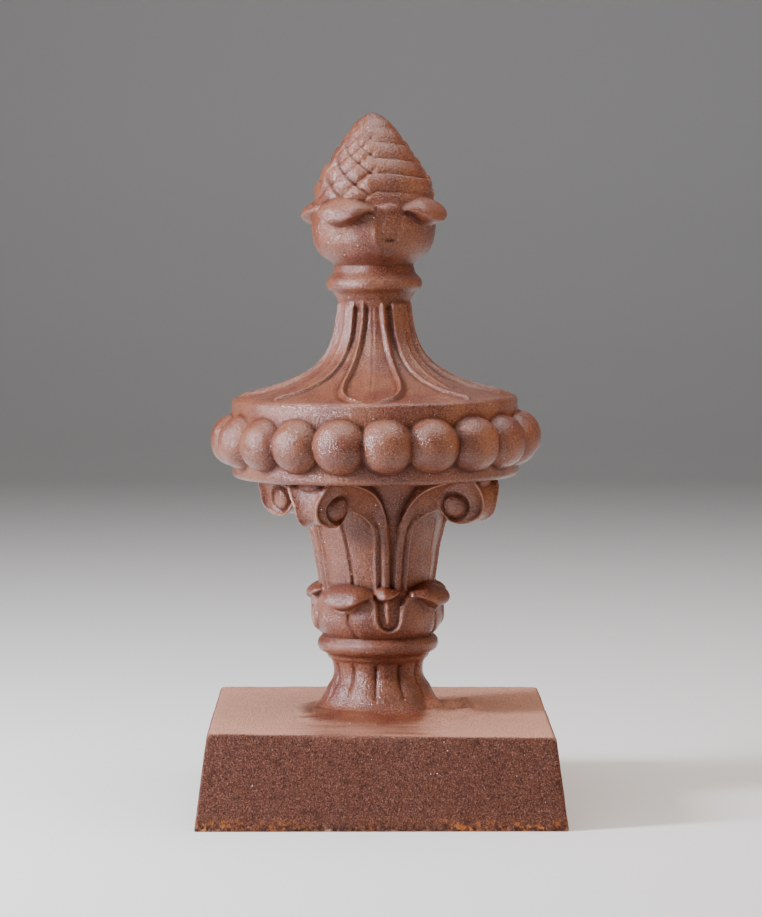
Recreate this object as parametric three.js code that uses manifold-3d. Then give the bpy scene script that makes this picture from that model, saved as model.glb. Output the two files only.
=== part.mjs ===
// A pine cone finial of salt-glazed stoneware: a turned and press-moulded shaft luted on to a
// square plinth and fired with it as one piece. Millimetres, +Z up. The origin is the middle of
// the plinth's underside and the front faces -Y. An azimuth is an angle in degrees from the
// front, growing towards +X, and a height in a carving is a share of that piece's own height.
import * as THREE from 'three';
import { mergeVertices } from 'three/addons/utils/BufferGeometryUtils.js';
import Module from 'manifold-3d';

// Plinth
const PLINTH_SIDE = 395;
const PLINTH_TOP_SIDE = 368.5;
const PLINTH_HEIGHT = 98.5;
const ARRIS_RADIUS = 5;

// The ornament repeats four times round the shaft
const QUARTER = 90;

// How the shaft stands on the plinth: pushed a little off the middle and leaning to -X
const SHAFT_OFFSET = -1.8;
const SHAFT_LEAN = 0.58;
const LAP = 3;

// Foot: a cove with twelve shallow lobes, in a smear of clay
const FOOT_HEIGHT = 68;
const SMEAR_RADIUS = 90;
const WAIST_RADIUS = 48.8;
const FOOT_HEAD_RADIUS = 58.5;
const FOOT_LOBES = 12;
const FOOT_LOBE_DEPTH = 2.6;
const FOOT_LOBE_TURN = -33;

// Ring above the foot
const RING_HEIGHT = 20;
const RING_RADIUS = 67;
const RING_CREASE = 7.5;

// Calyx of four leaves whose tops curl over
const CALYX_HEIGHT = 63.5;
const CALYX_FOOT_RADIUS = 60.5;
const CALYX_RADIUS = 72;
const CALYX_LIP_RADIUS = 83;
const CALYX_TURN = -32;
const LEAF_RIM = 2.6;

// Capital: a bell with four corner volutes, each fed by two fluted stalks
const CAPITAL_HEIGHT = 111;
const CAPITAL_FOOT_RADIUS = 65.5;
const CAPITAL_HEAD_RADIUS = 104;
const VOLUTE_REACH = 143;
const VOLUTE_DROP = 50;
const VOLUTE_ROLL = 29;
const VOLUTE_WIDTH = 27;
const VOLUTE_HEAD_WIDTH = 50;
const EYE_RADIUS = 11.5;
const EYE_PROUD = 3;
const STALK_PROUD = 3;

// Disc with a string of beads in its edge
const DISC_THICKNESS = 87;
const DISC_RADIUS = 157.8;
const DISC_EASE = 4;
const DISC_FOOT_EDGE = 12.5;
const BEADS = 20;
const BEAD_RADIUS = 29;
const BEAD_CENTRE_RADIUS = 153.7;
const BEAD_TURN = 3.65;

// Bell-shaped neck with four tongues and four darts
const NECK_HEIGHT = 107;
const NECK_RADIUS = 39;
const FLARE_LENGTH = 24.9;
const TONGUE_TURN = -2.8;
const TONGUE_RIM = 6;
const TONGUE_PROUD = 3;

// Collar
const COLLAR_HEIGHT = 39;
const COLLAR_RADIUS = 52.8;
const COLLAR_NECK_RADIUS = 44;

// Cup: the upper calyx
const CUP_HEIGHT = 74;
const CUP_RADIUS = 68;
const CUP_LIP_RADIUS = 82;
const CUP_TURN = -31;
const CUP_RIM = 1.8;

// Pine cone
const CONE_HEIGHT = 92;
const CONE_RADIUS = 66.5;
const SCALES_ROUND = 12;
const SCALE_ROWS = 9;
const SCALE_PROUD = 2.4;
const SCALE_GROOVE = 2.2;
const SCALE_LEDGE = 0.7;
const SCALE_TURN = -3;

// Heights of the joints, from the plinth up
const FOOT_Z = PLINTH_HEIGHT;
const RING_Z = FOOT_Z + FOOT_HEIGHT;
const CALYX_Z = RING_Z + RING_HEIGHT;
const CAPITAL_Z = CALYX_Z + CALYX_HEIGHT;
const DISC_Z = CAPITAL_Z + CAPITAL_HEIGHT;
const NECK_Z = DISC_Z + DISC_THICKNESS;
const COLLAR_Z = NECK_Z + NECK_HEIGHT;
const CUP_Z = COLLAR_Z + COLLAR_HEIGHT;
const CONE_Z = CUP_Z + CUP_HEIGHT;

const wasm = await Module();
wasm.setup();

const { clamp, degToRad, lerp, radToDeg, smoothstep } = THREE.MathUtils;

// A closed geometry as a solid that can be joined and cut
function solid(geometry) {
  const bare = new THREE.BufferGeometry();
  bare.setAttribute('position', geometry.getAttribute('position'));
  bare.setIndex(geometry.getIndex());
  const merged = mergeVertices(bare, 1e-3);
  const index = merged.getIndex().array;
  const corners = [];
  for (let i = 0; i < index.length; i += 3) {
    const [a, b, c] = [index[i], index[i + 1], index[i + 2]];
    if (a !== b && b !== c && c !== a) corners.push(a, b, c);
  }
  return new wasm.Manifold(new wasm.Mesh({
    numProp: 3,
    vertProperties: Float32Array.from(merged.getAttribute('position').array),
    triVerts: Uint32Array.from(corners),
  }));
}

// A solid as a geometry again
function toGeometry(joined) {
  const mesh = joined.getMesh();
  const geometry = new THREE.BufferGeometry();
  const points = [];
  for (let i = 0; i < mesh.numVert; i++) {
    points.push(...mesh.vertProperties.slice(i * mesh.numProp, i * mesh.numProp + 3));
  }
  geometry.setAttribute('position', new THREE.Float32BufferAttribute(points, 3));
  geometry.setIndex(Array.from(mesh.triVerts));
  return geometry;
}

const union = (solids) => solids.reduce((whole, next) => whole.add(next));

// A solid from a stack of rings with the same number of points, the ends closed by fans. Seen
// from outside, each ring runs to the right and the stack runs up. The four points of a mesh
// are split from low left to high right, or the other way where leansLeft(ring, point) says so.
function loft(rings, leansLeft = () => false) {
  const n = rings[0].length;
  const last = (rings.length - 1) * n;
  const faces = [];
  for (let j = 0; j < rings.length - 1; j++) {
    for (let i = 0; i < n; i++) {
      const [a, b] = [j * n + i, j * n + (i + 1) % n];
      if (leansLeft(j, i)) faces.push(a, b, a + n, b, b + n, a + n);
      else faces.push(a, b, b + n, a, b + n, a + n);
    }
  }
  for (let i = 1; i < n - 1; i++) {
    faces.push(0, i + 1, i, last, last + i, last + i + 1);
  }
  const geometry = new THREE.BufferGeometry();
  geometry.setFromPoints(rings.flat());
  geometry.setIndex(faces);
  return solid(geometry);
}

// The point at a radius, an azimuth and a height
function polar(radius, azimuth, z) {
  const angle = degToRad(azimuth);
  return new THREE.Vector3(radius * Math.sin(angle), -radius * Math.cos(angle), z);
}

// The smooth outline through a few [radius, height] points, as points in order up the piece
function outline(points, steps) {
  const curve = new THREE.SplineCurve(points.map(([r, z]) => new THREE.Vector2(r, z)));
  return curve.getSpacedPoints(steps);
}

// The value at x on the line through a few [x, value] knots
function along(knots, x) {
  const above = knots.findIndex(([at]) => at > x);
  const next = above < 0 ? knots.length - 1 : Math.max(1, above);
  const [[x0, y0], [x1, y1]] = knots.slice(next - 1, next + 1);
  return lerp(y0, y1, clamp((x - x0) / (x1 - x0), 0, 1));
}

// A plain turned piece
function turned(points, sides) {
  const axis = (end) => new THREE.Vector2(0, end.y);
  const lathe = new THREE.LatheGeometry([axis(points[0]), ...points, axis(points.at(-1))], sides);
  lathe.rotateX(Math.PI / 2);
  return solid(lathe);
}

// A turned piece with carving. Its lines run up the piece, and each row gives, for every line,
// a place [azimuth, radius, z]. The four quarters are alike and each is its own mirror image,
// so a row lists the places of half a quarter, from 0 to 45 degrees off the quarter's middle.
function carved(turn, rows) {
  const rings = rows.map((half) => {
    const ring = [];
    for (let quarter = 0; quarter < 4; quarter++) {
      const middle = turn + quarter * QUARTER;
      half.slice(1, -1).reverse().forEach(([off, r, z]) => ring.push(polar(r, middle - off, z)));
      half.forEach(([off, r, z]) => ring.push(polar(r, middle + off, z)));
    }
    return ring;
  });
  return loft(rings);
}

// Copies round the axis
function round(count, turn, make) {
  return union(Array.from({ length: count }, (_, i) => make(turn + i * 360 / count)));
}

// Plinth: a low truncated pyramid with eased arrises
function plinth() {
  const level = (side, z) => {
    const ring = [];
    const reach = side / 2 - ARRIS_RADIUS;
    [[1, 1], [-1, 1], [-1, -1], [1, -1]].forEach(([sx, sy], quarter) => {
      for (let step = 0; step <= 2; step++) {
        const angle = (quarter + step / 2) * Math.PI / 2;
        ring.push(new THREE.Vector3(
          sx * reach + ARRIS_RADIUS * Math.cos(angle),
          sy * reach + ARRIS_RADIUS * Math.sin(angle),
          z,
        ));
      }
    });
    return ring;
  };
  const taper = (PLINTH_SIDE - PLINTH_TOP_SIDE) / PLINTH_HEIGHT;
  const ease = ARRIS_RADIUS * 0.3;
  return loft([
    level(PLINTH_SIDE, 0),
    level(PLINTH_TOP_SIDE + taper * ARRIS_RADIUS, PLINTH_HEIGHT - ARRIS_RADIUS),
    level(PLINTH_TOP_SIDE - ease, PLINTH_HEIGHT - ease),
    level(PLINTH_TOP_SIDE - 2 * ARRIS_RADIUS, PLINTH_HEIGHT),
  ]);
}

// Foot: the cove flares down into the smear of clay and up to a small fillet
function foot() {
  const at = (share) => FOOT_Z + share * FOOT_HEIGHT;
  const cove = outline([
    [SMEAR_RADIUS, at(0)],
    [lerp(SMEAR_RADIUS, WAIST_RADIUS, 0.5), at(0.15)],
    [lerp(SMEAR_RADIUS, WAIST_RADIUS, 0.79), at(0.44)],
    [WAIST_RADIUS, at(0.69)],
    [lerp(WAIST_RADIUS, FOOT_HEAD_RADIUS, 0.4), at(0.86)],
    [FOOT_HEAD_RADIUS, at(0.99)],
  ], 5);
  const rows = [
    [SMEAR_RADIUS, FOOT_Z - LAP],
    ...cove.map(({ x, y }) => [x, y]),
    [FOOT_HEAD_RADIUS, RING_Z + LAP],
  ];
  const perLobe = 3;
  return loft(rows.map(([radius, z]) => {
    const fade = smoothstep(z, at(0.12), at(0.4)) * (1 - smoothstep(z, at(0.8), at(0.92)));
    return Array.from({ length: FOOT_LOBES * perLobe }, (_, i) => {
      const groove = i % perLobe === 0 ? FOOT_LOBE_DEPTH * fade : 0;
      const azimuth = FOOT_LOBE_TURN + i * 360 / (FOOT_LOBES * perLobe);
      return polar(radius - groove, azimuth, z);
    });
  }));
}

// Ring: a half-round moulding between two creases
function ring() {
  const core = RING_RADIUS - RING_CREASE;
  const points = [];
  for (let i = 0; i <= 5; i++) {
    const angle = lerp(-0.5, 0.5, i / 5) * Math.PI;
    points.push(new THREE.Vector2(
      core + RING_CREASE * Math.cos(angle),
      RING_Z + RING_HEIGHT * (0.5 + 0.5 * Math.sin(angle)),
    ));
  }
  points.unshift(new THREE.Vector2(core, RING_Z - LAP));
  points.push(new THREE.Vector2(core, CALYX_Z + LAP));
  return turned(points, 32);
}

// A calyx: a bulging cup of four leaves. Their edge runs as a U between two leaves, rises, and
// dips where the leaf's top curls over as a lip. In the U stand the midrib and the small beak
// of a leaf behind. Rows follow the edge; lines are degrees off the middle of a U.
const LEAF_EDGE = [
  [0, 0.1], [6, 0.14], [9.5, 0.27], [11, 0.5], [15, 0.68], [22, 0.74], [32, 0.63], [45, 0.52],
];
function calyx({ z, height, turn, footRadius, radius, lipRadius, headRadius, rim }) {
  const at = (share) => z + share * height;
  const face = (share) => along([
    [0, footRadius], [0.06, lerp(footRadius, radius, 0.4)], [0.18, lerp(footRadius, radius, 0.8)],
    [0.36, radius], [0.6, radius], [0.8, lerp(radius, headRadius, 0.45)], [1, headRadius],
  ], share);
  const lip = (off) => smoothstep(off, 12, 34);
  const behind = (off) => 1 - smoothstep(off, 9, 12);
  const ridge = (off) => 1 - smoothstep(off, 1, 5);
  const beak = (off) => 1 - smoothstep(off, 3, 10);
  const row = (share, lift) => LEAF_EDGE.map(([off, edge]) => {
    const [s, out] = [share(off, edge), lift(off, edge)];
    return [off, face(s) + out, at(s)];
  });
  const floor = (off) => rim * (ridge(off) - 1.2) * behind(off);
  const roll = lipRadius - radius;
  return carved(turn, [
    LEAF_EDGE.map(([off]) => [off, footRadius, z - LAP]),
    row(() => 0, () => 0),
    row((off, edge) => lerp(0.07, edge, 0.5), () => 0),
    row((off, edge) => edge - 0.03, (off) => -rim * 0.5 * lip(off)),
    row((off, edge) => edge - 0.01, (off) => rim + roll * 0.55 * lip(off)),
    row((off, edge) => edge + 0.05, (off) => rim * 0.8 + roll * lip(off)),
    row((off, edge) => lerp(edge + 0.09, 0.76, 0.35 * behind(off)),
      (off) => (roll * 1.2 + rim * 0.3) * lip(off) + floor(off)),
    row((off, edge) => lerp(0.76, edge + 0.26, lip(off)),
      (off) => roll * lip(off) + floor(off) + 2.4 * rim * beak(off)),
    row(() => 1, (off) => roll * 0.3 * lip(off)),
  ]);
}

// Capital: the bell with its pairs of ribbed stalks and, under each volute, a plain leaf with a
// groove down its middle. Each stalk has a round rib on its inner side and a thin outer edge.
const STALK_INNER = [
  [0, 1.5], [0.29, 2.6], [0.47, 4.2], [0.6, 6.6], [0.71, 8.9], [0.86, 13.4], [0.93, 18.4], [1, 30],
];
const STALK_OUTER = [
  [0, 15.8], [0.44, 16.4], [0.55, 17.4], [0.63, 19.8], [0.7, 23.4], [0.75, 28], [0.8, 33], [1, 36],
];
function capital() {
  const at = (share) => CAPITAL_Z + share * CAPITAL_HEIGHT;
  const bell = [
    [0, CAPITAL_FOOT_RADIUS],
    [0.3, lerp(CAPITAL_FOOT_RADIUS, CAPITAL_HEAD_RADIUS, 0.1)],
    [0.5, lerp(CAPITAL_FOOT_RADIUS, CAPITAL_HEAD_RADIUS, 0.25)],
    [0.8, lerp(CAPITAL_FOOT_RADIUS, CAPITAL_HEAD_RADIUS, 0.62)],
    [1, CAPITAL_HEAD_RADIUS],
  ];
  const row = (share, z = at(share)) => {
    const r = along(bell, share) - STALK_PROUD / 2;
    const [inner, outer] = [along(STALK_INNER, share), along(STALK_OUTER, share)];
    return [
      [0, r, z],
      [inner + 0.8, r + STALK_PROUD * 0.6, z],
      [lerp(inner, outer, 0.3), r + STALK_PROUD, z],
      [lerp(inner, outer, 0.66), r, z],
      [outer - 0.6, r + STALK_PROUD, z],
      [outer + 1.4, r + STALK_PROUD * 0.2, z],
      [QUARTER / 2 - 2, r + STALK_PROUD * 0.5, z],
      [QUARTER / 2, r - STALK_PROUD * 0.6, z],
    ];
  };
  const shares = [0.02, 0.3, 0.5, 0.63, 0.75, 1];
  const body = carved(CALYX_TURN + QUARTER / 2, [
    row(0, CAPITAL_Z - LAP),
    ...shares.map((share) => row(share)),
    row(1, DISC_Z + LAP),
  ]);
  return union([body, round(4, CALYX_TURN, volute)]);
}

// Volute: a scroll that rolls under from the disc, with an eye on each side of the roll
function volute(azimuth) {
  const out = polar(1, azimuth, 0);
  const side = polar(1, azimuth + QUARTER, 0);
  const eyeR = VOLUTE_REACH - VOLUTE_ROLL;
  const eyeZ = DISC_Z - VOLUTE_DROP + VOLUTE_ROLL * 0.7;
  const scroll = [[VOLUTE_REACH - 6, DISC_Z + LAP], [VOLUTE_REACH, DISC_Z - 14]];
  for (let i = 0; i <= 6; i++) {
    const angle = lerp(0, -1.1, i / 6) * Math.PI;
    const tighten = lerp(1, 0.62, Math.min(i / 4, 1));
    scroll.push([
      eyeR + VOLUTE_ROLL * tighten * Math.cos(angle),
      eyeZ + VOLUTE_ROLL * lerp(0.9, 0.7, i / 6) * Math.sin(angle),
    ]);
  }
  scroll.push([CAPITAL_FOOT_RADIUS, DISC_Z - VOLUTE_ROLL], [CAPITAL_FOOT_RADIUS, DISC_Z + LAP]);
  const shape = new THREE.Shape(scroll.map(([r, z]) => new THREE.Vector2(r, z)));
  const roll = new THREE.ExtrudeGeometry(shape, { depth: VOLUTE_WIDTH, bevelEnabled: false });
  roll.translate(0, 0, -VOLUTE_WIDTH / 2);
  roll.applyMatrix4(new THREE.Matrix4().makeBasis(
    out, new THREE.Vector3(0, 0, 1), side.clone().negate()));
  const level = (reach, width, z) => [[-1, eyeR], [-1, reach], [1, reach], [1, eyeR]].map(
    ([sign, r]) => new THREE.Vector3(0, 0, z)
      .addScaledVector(out, r)
      .addScaledVector(side, sign * width / 2));
  const horn = loft([
    level(VOLUTE_REACH - 1, VOLUTE_WIDTH - 1, DISC_Z - 28),
    level(VOLUTE_REACH - 0.5, lerp(VOLUTE_WIDTH, VOLUTE_HEAD_WIDTH, 0.35), DISC_Z - 14),
    level(VOLUTE_REACH - 5, VOLUTE_HEAD_WIDTH, DISC_Z + LAP),
  ]);
  const depth = VOLUTE_WIDTH + 2 * EYE_PROUD;
  const eye = new THREE.CylinderGeometry(EYE_RADIUS, EYE_RADIUS, depth, 8);
  eye.applyMatrix4(new THREE.Matrix4().makeBasis(out, side, new THREE.Vector3(0, 0, 1)));
  eye.translate(out.x * eyeR, out.y * eyeR, eyeZ);
  return union([solid(roll), horn, solid(eye)]);
}

// Disc with plain edges above and below the beads
function disc() {
  const beadZ = DISC_Z + DISC_FOOT_EDGE + BEAD_RADIUS;
  const points = [
    [DISC_RADIUS - DISC_EASE, DISC_Z],
    [DISC_RADIUS, DISC_Z + DISC_EASE],
    [DISC_RADIUS, NECK_Z - DISC_EASE],
    [DISC_RADIUS - DISC_EASE, NECK_Z],
  ].map(([r, z]) => new THREE.Vector2(r, z));
  const bead = (azimuth) => {
    const ball = new THREE.SphereGeometry(BEAD_RADIUS, 8, 6);
    ball.rotateZ(degToRad(azimuth));
    const centre = polar(BEAD_CENTRE_RADIUS, azimuth, beadZ);
    ball.translate(centre.x, centre.y, centre.z);
    return solid(ball);
  };
  return union([turned(points, 2 * BEADS), round(BEADS, BEAD_TURN, bead)]);
}

// Neck: a bell that flares to the disc's edge. Four spoon-shaped tongues with raised rims lie on
// it, their bowls downward, and pointed darts fill the spaces between them.
const TONGUE_LINE = [
  [0, 1], [0.03, 4], [0.06, 10], [0.09, 13.5], [0.16, 18], [0.3, 20], [0.5, 19.5], [0.7, 17], [1, 16],
];
const DART_LINE = [
  [0, 45], [0.04, 44], [0.07, 39.5], [0.12, 37.8], [0.2, 35], [0.3, 33.2], [0.45, 32.5], [0.6, 30.5],
  [1, 30],
];
function neck() {
  const flare = DISC_RADIUS - DISC_EASE - NECK_RADIUS;
  const row = (share, z = NECK_Z + share * NECK_HEIGHT) => {
    const r = NECK_RADIUS + flare * Math.exp(-share * NECK_HEIGHT / FLARE_LENGTH);
    const slope = flare / FLARE_LENGTH * Math.exp(-share * NECK_HEIGHT / FLARE_LENGTH);
    const fade = smoothstep(share, 0, 0.05) * (1 - smoothstep(share, 0.93, 1));
    const lift = (mm) => mm * fade / Math.hypot(1, slope);
    const place = (off, mm) => [off, r + lift(mm), z + lift(mm) * slope];
    const rim = along(TONGUE_LINE, share);
    const dart = along(DART_LINE, share);
    const half = radToDeg(TONGUE_RIM / 2 / r);
    return [
      place(0, -TONGUE_PROUD * 0.6),
      place(Math.max(rim - half * 1.2, rim * 0.4), 0),
      place(rim, TONGUE_PROUD),
      place(Math.min(rim + half * 1.2, lerp(rim, dart, 0.4)), -TONGUE_PROUD * 0.3),
      place(lerp(rim, dart, 0.88), -TONGUE_PROUD * 0.5),
      place(Math.min(dart + half * 0.4, lerp(dart, QUARTER / 2, 0.3)), TONGUE_PROUD * 0.6),
      place(QUARTER / 2, TONGUE_PROUD * 0.3),
    ];
  };
  const shares = [0, 0.03, 0.07, 0.13, 0.21, 0.32, 0.48, 0.7, 1];
  return carved(TONGUE_TURN, [
    row(0, NECK_Z - LAP), ...shares.map((share) => row(share)), row(1, COLLAR_Z + LAP),
  ]);
}

// Collar: a half-round ring on a small fillet
function collar() {
  const at = (share) => COLLAR_Z + share * COLLAR_HEIGHT;
  const points = outline([
    [NECK_RADIUS + 2, at(0)],
    [lerp(NECK_RADIUS, COLLAR_RADIUS, 0.42), at(0.16)],
    [COLLAR_RADIUS, at(0.44)],
    [lerp(COLLAR_NECK_RADIUS, COLLAR_RADIUS, 0.45), at(0.68)],
    [COLLAR_NECK_RADIUS, at(0.8)],
    [COLLAR_NECK_RADIUS, at(1)],
  ], 7);
  points.unshift(new THREE.Vector2(NECK_RADIUS, COLLAR_Z - LAP));
  points.push(new THREE.Vector2(COLLAR_NECK_RADIUS, CUP_Z + LAP));
  return turned(points, 28);
}

// Pine cone: rows of diamond scales. A scale stands out at its upper point, with a ledge above it,
// and its other three corners lie in the grooves. Along a row, upper points and lower corners
// stand by turns, and the next row is half a scale further round.
const CONE_LINE = [
  [0, 1], [0.12, 1], [0.28, 0.89], [0.45, 0.74], [0.62, 0.53], [0.78, 0.38], [0.92, 0.22], [1, 0.1],
];
function cone() {
  const pitch = CONE_HEIGHT / (SCALE_ROWS + 0.5);
  const isPoint = (row, i) => (row + i) % 2 === 1;
  const level = (row, isLedge) => Array.from({ length: 2 * SCALES_ROUND }, (_, i) => {
    const point = isPoint(row, i);
    const rise = (point ? 0 : 2 * SCALE_LEDGE) + (isLedge ? SCALE_LEDGE : 0);
    const z = CONE_Z + (point ? row : row - 1) * pitch + rise;
    const plain = CONE_RADIUS * along(CONE_LINE, (z - CONE_Z) / CONE_HEIGHT);
    const lift = point && !isLedge ? SCALE_PROUD : -SCALE_GROOVE;
    const azimuth = SCALE_TURN + i * 180 / SCALES_ROUND;
    return polar(plain + lift * Math.min(1, plain / CONE_RADIUS + 0.3), azimuth, z);
  });
  const rings = [];
  for (let row = 0; row < SCALE_ROWS; row++) {
    rings.push(level(row, false), level(row, true));
  }
  const crown = (share, z) => rings.at(-1).map(({ x, y }) => new THREE.Vector3(x * share, y * share, z));
  const top = CONE_Z + CONE_HEIGHT;
  const whole = [...rings, crown(0.62, top - 4), crown(0.28, top)];
  return loft(whole, (j, i) => j % 2 === 1 && !isPoint((j - 1) / 2, i));
}

const shaft = union([
  foot(),
  ring(),
  calyx({
    z: CALYX_Z,
    height: CALYX_HEIGHT,
    turn: CALYX_TURN + QUARTER / 2,
    footRadius: CALYX_FOOT_RADIUS,
    radius: CALYX_RADIUS,
    lipRadius: CALYX_LIP_RADIUS,
    headRadius: CAPITAL_FOOT_RADIUS,
    rim: LEAF_RIM,
  }),
  capital(),
  disc(),
  neck(),
  collar(),
  calyx({
    z: CUP_Z,
    height: CUP_HEIGHT,
    turn: CUP_TURN + QUARTER / 2,
    footRadius: COLLAR_NECK_RADIUS,
    radius: CUP_RADIUS,
    lipRadius: CUP_LIP_RADIUS,
    headRadius: CONE_RADIUS,
    rim: CUP_RIM,
  }),
  cone(),
]);

// The shaft as it stands, turned about the middle of its foot
const standing = toGeometry(shaft);
standing.translate(0, 0, -PLINTH_HEIGHT);
standing.rotateY(degToRad(-SHAFT_LEAN));
standing.translate(SHAFT_OFFSET, 0, PLINTH_HEIGHT);

const stoneware = new THREE.MeshStandardMaterial({
  color: 0x7a4534,
  roughness: 0.38,
  metalness: 0,
});

const object = new THREE.Group();
const finial = new THREE.Mesh(toGeometry(plinth().add(solid(standing))), stoneware);
finial.name = 'finial';
object.add(finial);

export default object;
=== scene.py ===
# A pine cone finial of salt-glazed stoneware on its square plinth, one fired piece about 760 mm
# high. Sizes are in millimetres unless a name says otherwise. An azimuth is an angle in degrees
# from the front (-Y), growing towards the viewer's right (+X).
import math

import bpy
import numpy as np
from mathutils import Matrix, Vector, kdtree, noise


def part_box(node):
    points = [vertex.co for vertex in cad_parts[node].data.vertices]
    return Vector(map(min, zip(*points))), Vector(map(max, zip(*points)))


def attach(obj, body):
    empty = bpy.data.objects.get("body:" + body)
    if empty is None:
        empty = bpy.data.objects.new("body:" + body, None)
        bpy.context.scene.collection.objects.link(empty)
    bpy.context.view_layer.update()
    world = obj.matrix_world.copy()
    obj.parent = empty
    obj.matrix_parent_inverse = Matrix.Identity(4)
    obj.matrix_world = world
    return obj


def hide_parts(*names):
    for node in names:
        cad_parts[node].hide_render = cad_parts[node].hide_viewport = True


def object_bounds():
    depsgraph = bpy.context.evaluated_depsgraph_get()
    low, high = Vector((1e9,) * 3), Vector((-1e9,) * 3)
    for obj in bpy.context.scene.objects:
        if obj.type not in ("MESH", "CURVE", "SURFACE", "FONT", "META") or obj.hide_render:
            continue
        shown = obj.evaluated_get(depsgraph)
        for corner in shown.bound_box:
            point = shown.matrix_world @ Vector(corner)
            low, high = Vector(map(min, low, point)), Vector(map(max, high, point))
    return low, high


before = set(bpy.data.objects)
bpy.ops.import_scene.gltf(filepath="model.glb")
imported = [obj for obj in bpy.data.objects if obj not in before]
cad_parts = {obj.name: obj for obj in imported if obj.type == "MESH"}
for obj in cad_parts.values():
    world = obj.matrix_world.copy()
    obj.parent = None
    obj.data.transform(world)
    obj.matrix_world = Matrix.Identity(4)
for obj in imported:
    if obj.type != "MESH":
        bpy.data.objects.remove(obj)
cad_box = [list(corner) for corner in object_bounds()]
LOW, HIGH = (1000 * np.array(corner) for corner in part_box("finial"))


# Plinth: a slab of stoneware cut to a truncated pyramid, its arrises eased with a wet sponge.
# The shaft was set on its top with soft clay, which was smeared out round the foot and dragged
# to the right, where it piled up into a small lump with a thumb's hollow in it.
PLINTH_SIDE = HIGH[0] - LOW[0]
PLINTH_TOP_SIDE = 368.5
PLINTH_HEIGHT = 98.5
ARRIS = 3.4
SHAFT_X = -1.8

clay = []


def form(rows):
    """Adds a closed form to the clay, from rows of points that run round to the right and up."""
    rows = np.asarray(rows, dtype=float)
    count, around_it = rows.shape[:2]
    index = np.arange(count * around_it).reshape(count, around_it)
    right = np.roll(index, -1, axis=1)
    walls = np.stack([index[:-1], right[:-1], right[1:], index[1:]], axis=-1).reshape(-1, 4)
    foot, head = count * around_it, count * around_it + 1
    fans = [[foot, b, a, a] for a, b in zip(index[0], right[0])]
    fans += [[head, a, b, b] for a, b in zip(index[-1], right[-1])]
    points = np.concatenate([rows.reshape(-1, 3), rows[[0, -1]].mean(axis=1)])
    clay.append([points, np.concatenate([walls, fans])])


def square(half, corner):
    """Points round a square of half side `half` with rounded corners."""
    signs = np.array([(1, 1), (-1, 1), (-1, -1), (1, -1)])
    turns = [np.radians(np.linspace(90 * q, 90 * q + 90, 7)) for q in range(4)]
    arcs = [
        (half - corner) * signs[q] + corner * np.stack([np.cos(turns[q]), np.sin(turns[q])], -1)
        for q in range(4)
    ]
    sides = [np.linspace(arcs[q][-1], arcs[(q + 1) % 4][0], 92)[1:-1] for q in range(4)]
    return np.concatenate([part for q in range(4) for part in (arcs[q], sides[q])])


def bump(x, middle, spread):
    """A soft rise of height 1 at the middle."""
    return np.exp(-(((x - middle) / spread) ** 2))


def step(x, start, end):
    """0 before start and 1 after end, eased between them."""
    t = np.clip((x - start) / (end - start), 0, 1)
    return t * t * (3 - 2 * t)


def smeared(x, y):
    """Height of the smeared clay over the plinth's top."""
    r = np.hypot(x - SHAFT_X, y)
    azimuth = np.degrees(np.arctan2(x - SHAFT_X, -y))
    ragged = 3 * np.sin(np.radians(3 * azimuth + 40)) + 2 * np.sin(np.radians(7 * azimuth))
    skirt = 6 * np.exp(-np.clip(r + ragged - 72, 0, None) / 15)
    skirt_front = step(np.cos(np.radians(azimuth - 20)), 0.1, 0.6)
    skirt += 1.1 * step(-r - ragged * 1.5, -112, -106) * skirt_front
    lump = 8.5 * bump(x, 97, 12) * bump(y, 16, 12) + 4.5 * bump(x, 74, 16) * bump(y, 10, 14)
    lump += 3 * bump(np.hypot(x - 90, (y + 2) * 0.7), 15, 3.2) * step(x, 72, 92)
    hollow = 4 * bump(x, 90, 7.5) * bump(y, -3, 10)
    tail = 1.3 * bump(y + 0.25 * (x - 100), -20, 2.6) * bump(x, 100, 16)
    streak = 1.3 * bump(0.56 * (x + 69) + 0.83 * (y + 49), 0, 1.6) * bump(x, -69, 12)
    return skirt + lump - hollow + tail + streak


def plinth_half(z):
    return PLINTH_SIDE / 2 - z * (PLINTH_SIDE - PLINTH_TOP_SIDE) / 2 / PLINTH_HEIGHT


def level(half, corner, z):
    ring = square(half, corner)
    return np.column_stack([ring, np.full(len(ring), z)])


def warp(x, y):
    """How far the fired slab's top stands above the level that it was cut to."""
    return 1.6 - 2 * x / 184 * (0.6 - 0.4 * y / 184) + 0.8 * bump(x, 0, 110) * step(y, 0, 180)


rows = [level(plinth_half(0) - 0.4, 2.2, 0), level(plinth_half(0.8), 2.2, 0.8)]
rows += [level(plinth_half(z), 2.4, z) for z in np.linspace(4, PLINTH_HEIGHT - ARRIS, 30)]
for turn in np.radians([20, 40, 60, 80]):
    z = PLINTH_HEIGHT - ARRIS * (1 - math.sin(turn))
    rows.append(level(plinth_half(z) - ARRIS * (1 - math.cos(turn)), 2.6, z))
for share in np.linspace(1, 0.2, 72):
    ring = level((PLINTH_TOP_SIDE / 2 - ARRIS) * share, 3, PLINTH_HEIGHT)
    ring[:, 2] += smeared(ring[:, 0], ring[:, 1]) * step(-share, -0.98, -0.9)
    rows.append(ring)
rows = np.array(rows)
rows[..., 2] += warp(rows[..., 0], rows[..., 1]) * step(rows[..., 2], 20, PLINTH_HEIGHT - 6)
form(rows)
shaft_starts = len(clay)


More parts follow.
